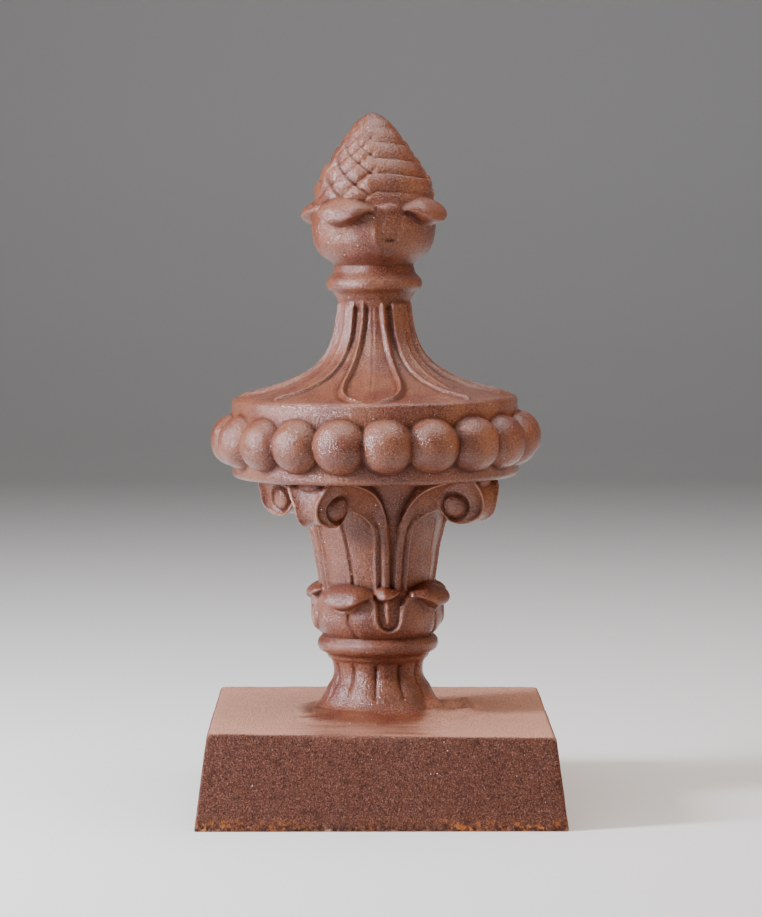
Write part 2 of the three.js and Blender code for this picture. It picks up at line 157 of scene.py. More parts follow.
# Foot: a turned cove with twelve lobes pressed into it, then a fillet and a half-round ring. The
# smear's upper edge is left as a raised line across its front left.
FOOT_PROFILE = [
    (94, 100), (98.6, 92), (101, 82), (105, 72.5), (112, 65.3), (120, 60.4), (128.4, 56.4),
    (132.8, 53), (137, 50.6), (142, 49), (148.5, 48.9), (155, 50.4), (159, 52.6), (160.2, 55.2),
    (163.6, 56.6), (165.4, 57),
    (166.2, 59.4), (168.5, 63.7), (170.8, 65.6), (173, 66.6), (176.3, 67.1), (179.7, 66.4),
    (182, 64.9), (184, 62.9), (185.6, 60.6), (190, 59.5),
]
LOBES = 12
LOBE_TURN = -33
GROOVE_DEPTH = 2.2
LOBE_FALL = 1.9


def around(radius, azimuth, z):
    """Points at a radius, an azimuth and a height."""
    angle = np.radians(azimuth)
    return np.stack([radius * np.sin(angle), -radius * np.cos(angle), z + 0 * angle], axis=-1)


def grid(heights, columns):
    """Azimuths and heights of a turned form's points, as two tables of rows and columns."""
    return np.meshgrid(np.linspace(0, 360, columns, endpoint=False), heights)


def signed(azimuth, middle, every=360):
    """How far an azimuth is from the nearest of the middles, right of it counted positive."""
    return (azimuth - middle + every / 2) % every - every / 2


def profile(table, z):
    """The radius of a turned outline at height z."""
    heights, radii = np.array(table, dtype=float).T
    fine = np.interp(z, heights, radii)
    return 0.5 * fine + 0.25 * (np.interp(z - 0.8, heights, radii) + np.interp(z + 0.8, heights, radii))


azimuth, z = grid(np.arange(94, 190, 0.8), 420)
r = profile(FOOT_PROFILE, z)
gap = np.abs(signed(azimuth, LOBE_TURN, 360 / LOBES)) * np.radians(1) * r
half_lobe = np.radians(180 / LOBES) * r
in_lobes = step(z, 108, 128) * step(-z, -158, -153)
r += in_lobes * (0.9 - GROOVE_DEPTH * bump(gap, 0, 1.5) - LOBE_FALL * (1 - gap / half_lobe) ** 2)
edge_z = 101 + 5.5 * bump(signed(azimuth, -42), 0, 30) + 1.0 * np.sin(np.radians(9 * azimuth))
front_left = bump(signed(azimuth, -50), 0, 36)
r += 2.4 * front_left * step(edge_z - z, -0.6, 0.6) + 1.6 * front_left * bump(z, edge_z - 1, 1.1)
form(around(r, azimuth, z))


# Lower calyx: a bulging cup of four leaves, pressed in a mould. The leaves have thin raised rims,
# their tops curl over as fat lobes, and between them shows the midrib and beak of a leaf behind.
CALYX_TURN = -32
CALYX_PROFILE = [
    (184, 59), (186.4, 60.4), (188.6, 63.4), (190.8, 65.7), (193, 67), (197.5, 69.6), (202, 71),
    (207, 71.8), (213, 71.8), (225, 71), (236, 67.6), (242, 63.5), (250, 60.5), (256, 58),
]
CALYX_EDGE = [
    (-22, 233), (-14, 226), (-8, 219.5), (0, 217), (8, 219.5), (14, 226), (20, 232), (26, 233),
    (30, 229), (30.8, 222), (31.2, 214), (31.8, 206.5), (33.6, 200.5), (37.4, 196.6), (42, 195.2),
    (46.6, 196.4), (50, 200), (51.8, 206), (52.4, 214), (53.8, 224), (58, 231.5), (64, 233.5),
    (70, 232), (76, 226), (82, 219.5), (90, 217), (98, 219.5), (104, 226), (112, 233),
]


def nearest(points, line):
    """Each point's distance to a line of points."""
    flat = points.reshape(-1, 3)
    best = np.full(len(flat), 1e9)
    for chunk in np.array_split(line, max(1, len(line) // 16)):
        best = np.minimum(best, np.linalg.norm(flat[:, None] - chunk[None], axis=2).min(axis=1))
    return best.reshape(points.shape[:2])


def drawn(knots, radius_at, turn, pitch=0.7):
    """A line of [azimuth, height] knots as points on a turned form, about `pitch` mm apart."""
    offs, heights = np.array(knots, dtype=float).T
    corners = around(radius_at(heights), turn + offs, heights)
    lengths = np.concatenate([[0], np.cumsum(np.linalg.norm(np.diff(corners, axis=0), axis=1))])
    places = np.arange(0, lengths[-1], pitch)
    offs, heights = np.interp(places, lengths, offs), np.interp(places, lengths, heights)
    return around(radius_at(heights), turn + offs, heights)


def quartered(make, heights, columns, turn):
    """A turned form whose four quarters are alike: make(azimuth from the turn, z) gives radii."""
    offs, z = np.meshgrid(np.linspace(0, 90, columns, endpoint=False), heights)
    r, z = make(offs, z)
    azimuth = np.concatenate([turn + offs + 90 * quarter for quarter in range(4)], axis=1)
    return np.tile(r, (1, 4)), azimuth, np.tile(z, (1, 4))


# A section through a curled leaf top, from the wall round the lip and back: shares of its reach
# and of its height
LIP_SECTION = [
    (-0.9, 0.02), (0, 0), (0.4, 0.08), (0.75, 0.15), (0.95, 0.2), (1, 0.27), (0.99, 0.38), (0.93, 0.52),
    (0.8, 0.67), (0.6, 0.81), (0.34, 0.92), (0, 1), (-0.9, 1.05),
]


def lip(azimuths, wall, low, high, out):
    """The curled top of a leaf, which slopes out from the wall and hangs over below."""
    reach, rise = np.array(LIP_SECTION).T
    places = np.linspace(0, len(reach) - 1, 48)
    reach, rise = (np.interp(places, np.arange(len(reach)), values) for values in (reach, rise))
    sections = around(
        wall + (out - wall)[:, None] * reach, azimuths[:, None] + 0 * reach,
        low[:, None] + (high - low)[:, None] * rise,
    )
    form(sections[:, ::-1])


def lobe(middle, spread, wall, low, high, out):
    """A fat lobe. low, high and out are its heights and reach at the middle and at the ends."""
    t = np.linspace(-1, 1, 71)
    flat = np.abs(t)
    lip(middle + spread * t, wall, low[0] + (low[1] - low[0]) * step(flat, 0.12, 0.95),
        high[0] + (high[1] - high[0]) * flat ** 2,
        out[1] + (out[0] - out[1]) * (1 - step(flat, 0.4, 1.02)))


def calyx(profile_table, edge_table, turn, heights, rim, floor, marks):
    """A bulging cup of four leaves: rim and floor are its edges' height and the depth behind."""
    def radius_at(z):
        return profile(profile_table, z)

    line = drawn(edge_table, radius_at, 0)
    edge_off, edge_z = np.array(edge_table, dtype=float).T

    def make(offs, z):
        r = radius_at(z)
        inside = np.interp(offs, edge_off, edge_z) - z
        away = nearest(around(r, offs, z), line) * np.sign(inside)
        relief = rim * bump(away, 1.7, 1.9) - floor * step(-away, -0.4, 1.8)
        return r + relief + marks(offs, z, r), z

    return quartered(make, heights, 112, turn)


def calyx_veins(offs, z, r):
    mm = np.radians(1) * r
    centre = np.interp(z, [186, 196, 203, 214], [12, 8, 5.2, 5])
    vein = -3.2 * (bump(offs * mm, centre * mm, 1.4) + bump((offs - 90) * mm, centre * mm, 1.4))
    midrib = 3.6 * bump((offs - 40.6) * mm, 0, 2.5) * step(z, 200, 206) * step(-z, -234, -228)
    swell = 0.9 * bump((offs - 18) * mm, 0, 7) + 0.9 * bump((offs - 68) * mm, 0, 7)
    return vein * step(-z, -218, -212) + midrib + swell * step(-z, -216, -200)


r, azimuth, z = calyx(CALYX_PROFILE, CALYX_EDGE, CALYX_TURN, np.arange(184, 256, 0.8),
                      rim=2.6, floor=3.4, marks=calyx_veins)
form(around(r, azimuth, z))
for quarter in range(4):
    lobe(CALYX_TURN + 1 + 90 * quarter, spread=27, wall=64, low=(216, 230.5), high=(245.5, 238),
         out=(84.2, 73.2))
    # The beak of the leaf behind
    share = np.linspace(0, 1, 50)
    lip(CALYX_TURN + 90 * quarter + 29 + 26 * share, 61,
        np.interp(share, [0, 0.1, 0.25, 0.5, 0.75, 1], [236, 229.5, 227, 228.5, 233, 239]),
        245 - 5 * np.abs(2 * share - 0.7),
        np.interp(share, [0, 0.14, 0.32, 0.6, 0.8, 1], [65, 73, 77, 75, 71, 65]))


# Capital: a bell with eight stalks, each a rib with a groove and a thin edge. They rise in pairs, part
# under the disc and arch outwards, each into the side of one of the four corner volutes. Between
# the pairs stands a plain leaf with a groove down its middle.
CAPITAL_PROFILE = [
    (234, 62), (244, 63), (255, 64.6), (264, 66.2), (273, 67.4), (282, 68.6), (291, 70.6), (300, 73),
    (304, 74), (312, 75.8), (320, 77.5), (330, 81), (340, 84.5), (352, 91), (366, 100),
]
STALK_INNER = [
    (2, 234), (2.1, 266), (2.6, 282), (4.2, 302), (6.6, 317), (8.9, 329), (13.4, 345), (18, 352),
    (25, 357), (32, 360),
]
STALK_OUTER = [
    (15.8, 234), (16.2, 299), (17.2, 309), (19.6, 318), (23.2, 325.6), (27.6, 331), (33, 335),
    (38, 337),
]
RIB_SHARE = 0.6


def capital_radius(z):
    return profile(CAPITAL_PROFILE, z)


def bell(offs, z):
    off = np.abs(signed(offs, 0, 90))
    r = capital_radius(z)
    mm = np.radians(1) * r
    here = around(r, off, z)
    outer = nearest(here, drawn(STALK_OUTER, capital_radius, 0))
    inner_off, outer_off = (
        np.interp(z, *np.array(knots).T[::-1]) for knots in (STALK_INNER, STALK_OUTER)
    )
    recess = step((inner_off - off) * mm, -0.6, 1.6) * (2.2 + 2.6 * step(z, 275, 330))
    share = (off - inner_off) / (outer_off - inner_off)
    rib = 2.9 * np.sin(np.pi * np.clip(share / RIB_SHARE, 0, 1)) ** 0.75
    groove = 1.7 * bump((share - RIB_SHARE - 0.06) * (outer_off - inner_off) * mm, 0, 1.2)
    relief = rib - groove + 2.4 * bump(outer, 0, 1.7)
    relief -= 1.1 * step(off - outer_off, 0, 1.5) + recess + 0.8
    leaf_groove = (offs - 44 - np.interp(z, [258, 314], [6.1, 0.9])) * mm
    leaf_relief = 0.9 * bump(leaf_groove, -3.2, 1.8) - 3.2 * bump(leaf_groove, 0, 1.4)
    relief += leaf_relief * step(-z, -322, -312)
    return r + relief * step(z, 238, 243), z


CAPITAL_TURN = CALYX_TURN + 46
r, azimuth, z = quartered(bell, np.arange(234.4, 366, 0.9), 150, CAPITAL_TURN)
form(around(r, azimuth, z))

# The stalks' arches: from the bell out to the top of each volute's side
ARCH_UPPER = [
    (43, 69, 270), (42.4, 71.5, 285), (41.4, 74.5, 301), (40, 77.5, 311), (38, 81, 321.5),
    (35.8, 85, 330.5), (32.9, 91, 340.5), (29.2, 98.5, 348.5), (24.4, 109, 355), (19, 121, 359.5),
    (14, 131, 363),
]
ARCH_LOWER = [
    (29.8, 69.5, 276), (29.4, 74, 294), (28.4, 76.5, 304.5), (26, 79, 312), (22.8, 82, 318),
    (19.2, 86, 322.5), (15.4, 91.5, 326), (11.4, 98, 330), (8.4, 106, 335), (7, 113, 340),
]
ARCH_DRIFT = 1.0


def smooth_path(knots, count):
    """A smooth line through [azimuth, radius, height] knots."""
    knots = np.array(knots, dtype=float)
    places = np.linspace(0, 1, count)
    along_it = np.linspace(0, 1, len(knots))
    path = np.stack([np.interp(places, along_it, knots[:, axis]) for axis in range(3)], axis=1)
    for _ in range(6):
        path[1:-1] = 0.25 * path[:-2] + 0.5 * path[1:-1] + 0.25 * path[2:]
    return path


def arch(middle, side):
    upper, lower = (smooth_path(knots, 60) for knots in (ARCH_UPPER, ARCH_LOWER))
    high, low = (
        around(p[:, 1], middle + ARCH_DRIFT + side * p[:, 0], p[:, 2]) for p in (upper, lower)
    )
    across = high - low
    forward = np.gradient((high + low) / 2, axis=0)
    facing = np.cross(across, forward) * side
    facing /= np.linalg.norm(facing, axis=1, keepdims=True)
    u, v = np.linspace(0, 1, 60)[:, None], np.linspace(0, 1, 25)
    edges = bump(v, 0.06, 0.055)
    ribbed = 2.4 * edges + 2.9 * np.sin(np.pi * np.clip((v - 0.4) / 0.58, 0, 1)) ** 0.75
    ribbed -= 1.7 * bump(v, 0.34, 0.08)
    hollow = 2.4 * (edges + bump(v, 0.95, 0.05)) - 3.0 * np.sin(np.pi * v) ** 0.7
    face = ribbed + (hollow - ribbed) * step(u, 0.25, 0.6) - 0.8
    front = low[:, None] + across[:, None] * v[:, None] + facing[:, None] * face[:, :, None]
    front -= facing[:, None] * (7 * (1 - step(u, 0, 0.42)))[:, :, None]
    back = front - facing[:, None] * 12
    sections = np.concatenate([front, back[:, ::-1]], axis=1)
    form(sections if side > 0 else sections[:, ::-1])


# Volutes: four scrolls of clay luted on under the disc's edge, at the corners of the capital. Each
# has a hollowed front band and a glossy round eye in both sides.
VOLUTE_EYE = (112, 333)
HUSK = (132, 359)
HUSK_DEPTH = 9.5
HUSK_HEIGHT = 7.5
HUSK_WIDTH = 17
VOLUTE_OUTLINE = [
    (-180, 20), (-150, 17), (-125, 17.5), (-105, 19), (-69, 21.5), (-42, 25.5), (-18, 31.4),
    (7, 33.4), (23, 35.6), (42, 38.6), (52, 39.5), (62, 38), (76, 36), (90, 36), (112, 36),
    (135, 27), (160, 21), (180, 20),
]
EYE_SIZE = 11.8


def volute(middle):
    theta = np.linspace(-180, 180, 150, endpoint=False)
    angles, radii = np.array(VOLUTE_OUTLINE, dtype=float).T
    reach = sum(np.interp((theta + d + 180) % 360 - 180, angles, radii) for d in (-7, 0, 7)) / 3

    def half(out, z):
        return 12.6 + 0.25 * np.clip(138 - out, 0, 55) + 13.4 * step(z, 329, 366) ** 1.15

    def place(rho, across):
        out = VOLUTE_EYE[0] + rho * np.cos(np.radians(theta))
        z = VOLUTE_EYE[1] + rho * np.sin(np.radians(theta))
        return out, z, across

    def side(share, sign):
        rho = share * reach
        z = VOLUTE_EYE[1] + rho * np.sin(np.radians(theta))
        eye = np.sqrt(np.clip(1 - (rho / EYE_SIZE) ** 2, 0, 1))
        scroll = 15.6 + 1.6 * np.abs(signed(theta, 100)) / 180
        lift = 6.6 * eye * (rho < EYE_SIZE) - 2.6 * bump(rho, 13.3, 1.5)
        lift += 1.7 * bump(rho, scroll + 0.8, 1.1) * step(-theta, -130, -100) * step(theta, -140, -90)
        lift += 2.0 * bump(rho, reach - 1.6, 1.5) - 1.2 * bump(rho, (scroll + reach) / 2 + 1, 3)
        return place(rho, sign * (half(VOLUTE_EYE[0] + rho * np.cos(np.radians(theta)), z) + lift))

    shares = np.concatenate([np.linspace(0.02, 0.93, 34), [0.96, 0.985, 1.0]])
    lines = [side(share, 1) for share in shares]
    for v in np.linspace(0.94, -0.94, 21):
        out, z, _ = place(reach, 0)
        hollow = 5.2 * (1 - v ** 2) ** 0.9 * (0.5 + 0.5 * step(z, 310, 345))
        lines.append(place(reach + 0.8 * bump(abs(v), 0.9, 0.1) - hollow, v * half(out, z)))
    lines += [side(share, -1) for share in shares[::-1]]
    out_way, side_way = (around(1, np.array(middle + turn), 0) for turn in (0, 90))
    sections = [
        out[:, None] * out_way + across_it[:, None] * side_way + z[:, None] * np.array([0, 0, 1])
        for out, z, across_it in ((o, z, a + 0 * o) for o, z, a in lines)
    ]
    form(np.array(sections)[:, ::-1])


for quarter in range(4):
    corner = CALYX_TURN + 90 * quarter
    volute(corner)
    arch(corner, 1)
    arch(corner, -1)
    # A small husk fills the top of the front band, under the disc
    husk = []
    for v in np.linspace(-0.98, 0.98, 24):
        turn = np.linspace(0, 2 * np.pi, 24, endpoint=False)
        fat = math.sqrt(1 - v * v)
        out = HUSK[0] + HUSK_DEPTH * fat * np.cos(turn)
        z = HUSK[1] + HUSK_HEIGHT * fat * np.sin(turn)
        husk.append(out[:, None] * around(1, np.array(corner), 0)
                    + HUSK_WIDTH * v * around(1, np.array(corner + 90), 0) + z[:, None] * np.array([0, 0, 1]))
    form(np.array(husk)[:, ::-1])


# Disc: a thick turned slab with soft corners. A string of twenty balls, rolled and pressed one by
# one, sits in its edge with a plain border above and below.
DISC_Z = 361
DISC_TOP = 448
DISC_RADIUS = 157.6
BEADS = 20
BEAD_RADIUS = 29
BEAD_CENTRE_RADIUS = 153.7
BEAD_TURN = 3.65
BEAD_Z = DISC_Z + 12.5 + BEAD_RADIUS

outline = [(70, DISC_Z + 3), (120, DISC_Z + 0.5), (146, DISC_Z)]
outline += [(DISC_RADIUS - 5.5 + 5.5 * math.sin(a), DISC_Z + 5.5 - 5.5 * math.cos(a))
            for a in np.radians(np.linspace(0, 90, 8))]
outline += [(DISC_RADIUS, z) for z in np.arange(DISC_Z + 8, DISC_TOP - 5, 2)]
outline += [(DISC_RADIUS - 3.5 + 3.5 * math.cos(a), DISC_TOP - 4.2 + 3.5 * math.sin(a))
            for a in np.radians(np.linspace(0, 90, 7))]
outline += [(147, DISC_TOP - 1), (130, DISC_TOP - 4), (70, DISC_TOP - 6)]
azimuth, which = grid(np.arange(len(outline)), 900)
r, z = (np.array(outline)[which.astype(int), axis] for axis in (0, 1))
uneven = 0.35 * np.sin(np.radians(3 * azimuth + 20)) + 0.3 * np.sin(np.radians(7 * azimuth))
form(around(r + uneven * (r > 140), azimuth, z + uneven * (z > 400)))

chance = np.random.default_rng(7)
for number in range(BEADS):
    middle = BEAD_TURN + number * 360 / BEADS + chance.uniform(-0.5, 0.5)
    middle += 1.6 * bump(middle % 360, 42, 22)
    wide = 1 + 0.05 * bump(middle % 360, 24, 8)
    size = BEAD_RADIUS + chance.uniform(-0.5, 0.35)
    flat = 2.35 if 25 < middle % 360 < 75 else 2.12
    lat = np.radians(np.linspace(-88, 88, 46))
    lon = np.radians(np.linspace(0, 360, 64, endpoint=False))
    east = np.cos(lat)[:, None] * np.cos(lon)
    north = np.cos(lat)[:, None] * np.sin(lon)
    rise = np.sin(lat)[:, None] + 0 * east
    fit = (np.abs(east) ** flat + np.abs(north) ** flat + np.abs(rise) ** flat) ** (-1 / flat)
    ball = size * np.stack([wide * east * fit, north * fit, rise * fit], axis=-1)
    centre = around(BEAD_CENTRE_RADIUS + chance.uniform(-0.5, 0.2), np.array(middle), BEAD_Z)
    turned = np.radians(middle)
    spin = np.array([[math.cos(turned), -math.sin(turned), 0], [math.sin(turned), math.cos(turned), 0],
                     [0, 0, 1]])
    form(ball @ spin.T + centre)


# Neck: a bell that flares to the disc's edge, thrown and then carved while leather hard. Four
# spoon-shaped tongues with raised rims lie on it, bowls down, and pointed darts stand between.
NECK_Z = 448
NECK_HEIGHT = 107
NECK_RADIUS = 37.2
FLARE = 119.2
FLARE_LENGTH = 24.9
TONGUE_TURN = -2.8
TONGUE_RIM = [(1, 0.004), (5, 0.018), (10, 0.04), (14, 0.075), (17, 0.12), (19.2, 0.19), (20, 0.28),
              (20, 0.4), (19, 0.55), (17.3, 0.7), (16.2, 0.85), (16, 1)]
DART_EDGE = [(45, 0.015), (42, 0.055), (39, 0.085), (37.4, 0.13), (35.2, 0.2), (33.6, 0.28),
             (32.6, 0.4), (31.6, 0.52), (30.4, 0.68), (30, 1)]


def neck_radius(z):
    return NECK_RADIUS + FLARE * np.exp(-(z - NECK_Z) / FLARE_LENGTH)


def neck_face(offs, z):
    off = np.abs(signed(offs, 0, 90))
    share = (z - NECK_Z) / NECK_HEIGHT
    r = neck_radius(z)
    here = around(r, off, z)
    rim_line, dart_line = (
        drawn([(o, NECK_Z + s * NECK_HEIGHT) for o, s in knots], neck_radius, 0)
        for knots in (TONGUE_RIM, DART_EDGE)
    )
    rim_off, dart_off = (
        np.interp(share, *np.array(knots).T[::-1]) for knots in (TONGUE_RIM, DART_EDGE)
    )
    rim = nearest(here, rim_line)
    rim_side = rim * np.sign(off - rim_off)
    dart_side = nearest(here, dart_line) * np.sign(off - dart_off)
    mm = np.radians(1) * r
    relief = 3.0 * bump(rim_side, -0.4, 2.4) - 1.8 * bump(rim_side, 5, 3.2)
    relief += -1.9 * step(-rim_side, 1.5, 5) + 1.5 * bump(off * mm, 0, 4.5) * step(share, 0.05, 0.14)
    relief += -2.0 * bump(off * mm, 0, 1.2) * step(share, 0.07, 0.12)
    relief += 2.4 * step(dart_side, -1, 1) + 0.9 * bump(dart_side, 1.4, 1.3)
    relief -= 1.1 * bump(dart_side, -2, 1.2)
    relief += 1.5 * bump((45 - off) * mm, 0, 1.3) * step(share, 0.06, 0.12)
    relief += -0.7 * bump(rim_side, -3.4, 0.8)
    relief *= step(share, 0.0, 0.03) * step(-share, -1, -0.94)
    slope = FLARE / FLARE_LENGTH * np.exp(-(z - NECK_Z) / FLARE_LENGTH)
    lift = relief / np.hypot(1, slope)
    return r + lift, z + lift * slope


fine = np.linspace(NECK_Z + 0.4, NECK_Z + NECK_HEIGHT + 3, 4000)
run = np.concatenate([[0], np.cumsum(np.hypot(np.diff(fine), np.diff(neck_radius(fine))))])
heights = np.interp(np.arange(0, run[-1], 1.0), run, fine)
r, azimuth, z = quartered(neck_face, heights, 220, TONGUE_TURN)
brim = [around(np.full(r.shape[1], radius), azimuth[0], height + 0 * azimuth[0])
        for radius, height in ((80, NECK_Z - 5), (148, NECK_Z - 5))]
form(np.concatenate([brim, around(r, azimuth, z)]))


# Collar: a half-round ring turned between the neck and the cup, on a small fillet. It was thrown
# in one with them.
COLLAR_PROFILE = [
    (548, 38.6), (553, 39.4), (556, 40.7), (560, 43.4), (562.4, 44.4), (564.4, 47.4), (567, 51.4),
    (569.5, 52.6), (572.5, 52.9), (576, 52.2), (579, 50.6), (582, 47.6), (584, 45.4), (588, 44.3),
    (591, 43.8), (593.3, 42.6), (600, 42),
]
azimuth, z = grid(np.arange(548, 600, 0.8), 320)
form(around(profile(COLLAR_PROFILE, z), azimuth, z))


# Cup: the upper calyx, made in the same way as the lower one but softer, its leaf edges half
# drowned in glaze. Four fat lobes stand out under the cone.
CUP_TURN = -31
LEAF_TIP_RADIUS = 66.2
LEAF_TIP_Z = 655
CUP_PROFILE = [
    (590, 41), (593.3, 42.9), (595.5, 45.8), (597.7, 49), (600, 52.6), (604, 57.5), (608.6, 61),
    (613, 63.3), (617, 64.8), (622, 66), (628, 67), (635, 67.7), (645, 67.4), (655, 66.6), (668, 65),
    (676, 60),
]
CUP_EDGE = [
    (-23, 649), (-13, 641), (0, 633), (13, 641), (23, 649), (30, 645), (34, 632), (35.5, 616),
    (39, 606), (45, 602), (51, 606), (54.5, 616), (56, 632), (60, 645), (67, 649), (77, 641),
    (90, 633), (103, 641), (113, 649),
]


def cup_marks(offs, z, r):
    mm = np.radians(1) * r
    midrib = 0.5 * bump((offs - 46) * mm, 0, 2.4) * step(z, 608, 618) * step(-z, -650, -640)
    centre = -1.0 * (bump(offs * mm, 0, 1.5) + bump((offs - 90) * mm, 0, 1.5)) * step(-z, -634, -622)
    return midrib + centre


r, azimuth, z = calyx(CUP_PROFILE, CUP_EDGE, CUP_TURN, np.arange(590, 676, 0.8),
                      rim=0.8, floor=0.8, marks=cup_marks)

# A thumb's dent and two raised lines in the glaze, on the front alone
mm = np.radians(1) * r
r -= 3.4 * bump(signed(azimuth, 15.5) * mm, 0, 6.4) * bump(z, 619.5, 2.3)
r += 1.8 * bump(signed(azimuth, 0.5) * mm, 0, 1.2) * bump(z, 627, 5)
r += 1.5 * bump(signed(azimuth, 11) * mm, 0, 1.2) * bump(z, 638, 5)
form(around(r, azimuth, z))
for quarter in range(4):
    lobe(CUP_TURN + 90 * quarter, spread=31, wall=61, low=(633, 650), high=(667.5, 657),
         out=(84.2, 69.5))
    # The small tip of the leaf behind
    tip = []
    for share in np.linspace(0, 1, 24):
        turn = np.linspace(0, 2 * np.pi, 16, endpoint=False)
        fat = 1.2 + 2.6 * math.sin(math.pi * share)
        tip.append(around(LEAF_TIP_RADIUS + fat * 0.8 * np.cos(turn),
                          np.full(16, CUP_TURN + 90 * quarter + 37 + 18 * share),
                          LEAF_TIP_Z + fat * np.sin(turn)))
    form(np.array(tip)[:, ::-1])


# Cone: rows of diamond scales, each overlapping the ones above. On the front right the mould had
# worn, so that there the scales run together into level bands.
CONE_PROFILE = [
    (658, 62), (664, 65.5), (668, 65.4), (674, 64.2), (680, 62.4), (687, 59.6), (693, 56.6),
    (699, 52.8), (705, 48.6), (711, 44.8), (717, 41.2), (723, 37.2), (729, 33), (735, 28.8),
    (740, 25.2), (745, 21.4), (750, 16.8), (754, 12), (757, 7.6), (758.8, 4), (759.7, 1),
]
SCALE_TURN = -3.5
SCALES_ROUND = 12
SCALE_HEIGHTS = [656, 668, 680, 692.4, 703, 712, 721, 729.6, 738, 746, 753, 759, 764]
BAND_EDGES = [673.6, 691.5, 708.4, 726, 741.7, 753, 766]
SEAM_EDGES = [664, 684, 704, 722.5, 735, 752, 766]

radii = np.array(CONE_PROFILE)
run = np.concatenate([[0], np.cumsum(np.hypot(*np.diff(radii, axis=0).T))])
places = np.arange(0, run[-1], 0.8)
azimuth, place = grid(places, 400)
base_z = np.interp(place, run, radii[:, 0])
r = np.interp(place, run, radii[:, 1])
row = np.interp(base_z, SCALE_HEIGHTS, np.arange(-1, len(SCALE_HEIGHTS) - 1)) - 2
turn = signed(azimuth, SCALE_TURN) / (360 / SCALES_ROUND)
down_line, up_line = turn + row / 2, turn - row / 2
near_down = np.abs(signed(down_line, 0, 1))
near_up = np.abs(signed(up_line, 0, 1))
in_down, in_up = down_line % 1, up_line % 1
pillow = (16 * in_down * (1 - in_down) * in_up * (1 - in_up)) ** 0.4
overlap = (in_down + 1 - in_up) / 2
size = np.clip(r / 50, 0.25, 1.1)
grooves = 2.4 * bump(near_up, 0, 0.07) + 2.0 * bump(near_down, 0, 0.06)
scales = size * (3.2 * pillow + 4.4 * overlap - grooves + 0.8 * bump(in_down, 0.9, 0.06) - 3)
slant = base_z + 0.055 * np.clip(signed(azimuth, 10), 0, 80) * size * 1.6
band = np.interp(slant, BAND_EDGES, np.arange(len(BAND_EDGES)))
in_band = band % 1
bands = size * (3.8 * in_band ** 1.2 + 1.6 * np.sin(np.pi * in_band) - 2)
bands += size * (0.35 * bump(near_down, 0, 0.05) - 1.6 * bump(in_band, 0.02, 0.05))
worn = step(signed(azimuth, 40), -46, -30) * step(-signed(azimuth, 40), -50, -36)
in_seam = np.interp(base_z, SEAM_EDGES, np.arange(len(SEAM_EDGES))) % 1
seams = size * (3.6 * in_seam ** 1.2 + 1.6 * np.sin(np.pi * in_seam) - 2)
on_seam = step(-np.abs(signed(azimuth, -96)), -38, -26)
relief = scales * (1 - worn - on_seam) + bands * worn + seams * on_seam
relief = relief * step(-base_z, -759.3, -755) * step(base_z, 662, 668)
slope = np.gradient(np.array(CONE_PROFILE)[:, 1], np.array(CONE_PROFILE)[:, 0])
slope = -np.interp(base_z, np.array(CONE_PROFILE)[:, 0], slope)
lift = relief / np.hypot(1, slope)
form(around(r + lift, azimuth, base_z + lift * slope))


# Firing: the forms are one skin of clay, softened where they meet. The shaft leans a little to
# the left, and the whole surface is uneven by a few tenths of a millimetre from handling.
SHAFT_LEAN = math.radians(0.58)
VOXEL = 1.25
UNEVEN_WIDE = 0.45
UNEVEN_FINE = 0.22
CHIP_DEPTH = 4
FACES = 196_000

for points, _ in clay[shaft_starts:]:
    x, z = points[:, 0].copy(), points[:, 2] - PLINTH_HEIGHT
    points[:, 0] = x * math.cos(SHAFT_LEAN) - z * math.sin(SHAFT_LEAN) + SHAFT_X
    points[:, 2] = x * math.sin(SHAFT_LEAN) + z * math.cos(SHAFT_LEAN) + PLINTH_HEIGHT

starts = np.cumsum([0] + [len(points) for points, _ in clay[:-1]])
all_points = np.concatenate([points for points, _ in clay]) / 1000
all_faces = np.concatenate([faces + start for (_, faces), start in zip(clay, starts)])
raw = bpy.data.meshes.new("clay")
raw.from_pydata(all_points.tolist(), [], [list(dict.fromkeys(face)) for face in all_faces.tolist()])
finial = bpy.data.objects.new("stoneware_finial", raw)
bpy.context.scene.collection.objects.link(finial)


def with_modifier(kind, **settings):
    """Applies one modifier to the finial."""
    modifier = finial.modifiers.new(kind.lower(), kind)
    for name, value in settings.items():
        setattr(modifier, name, value)
    depsgraph = bpy.context.evaluated_depsgraph_get()
    made = bpy.data.meshes.new_from_object(finial.evaluated_get(depsgraph))
    finial.modifiers.clear()
    finial.data = made


with_modifier("REMESH", mode="VOXEL", voxel_size=VOXEL / 1000)
skin = finial.data
count = len(skin.vertices)
place = np.empty(3 * count)
skin.vertices.foreach_get("co", place)
place = place.reshape(-1, 3)
edges = np.empty(2 * len(skin.edges), dtype=int)
skin.edges.foreach_get("vertices", edges)
edges = edges.reshape(-1, 2)
valence = np.bincount(edges.ravel(), minlength=count)[:, None]


def relaxed(values, times, strength=0.5):
    """Values drawn towards the mean of their neighbours."""
    for _ in range(times):
        total = np.stack([
            np.bincount(edges[:, 0], values[edges[:, 1], axis], count)
            + np.bincount(edges[:, 1], values[edges[:, 0], axis], count)
            for axis in range(values.shape[1])
        ], axis=1)
        values = values + strength * (total / valence - values)
    return values


place = relaxed(place, 1, 0.45)
skin.vertices.foreach_set("co", place.ravel())
skin.update()
facing = np.empty(3 * count)
skin.vertices.foreach_get("normal", facing)
facing = facing.reshape(-1, 3)

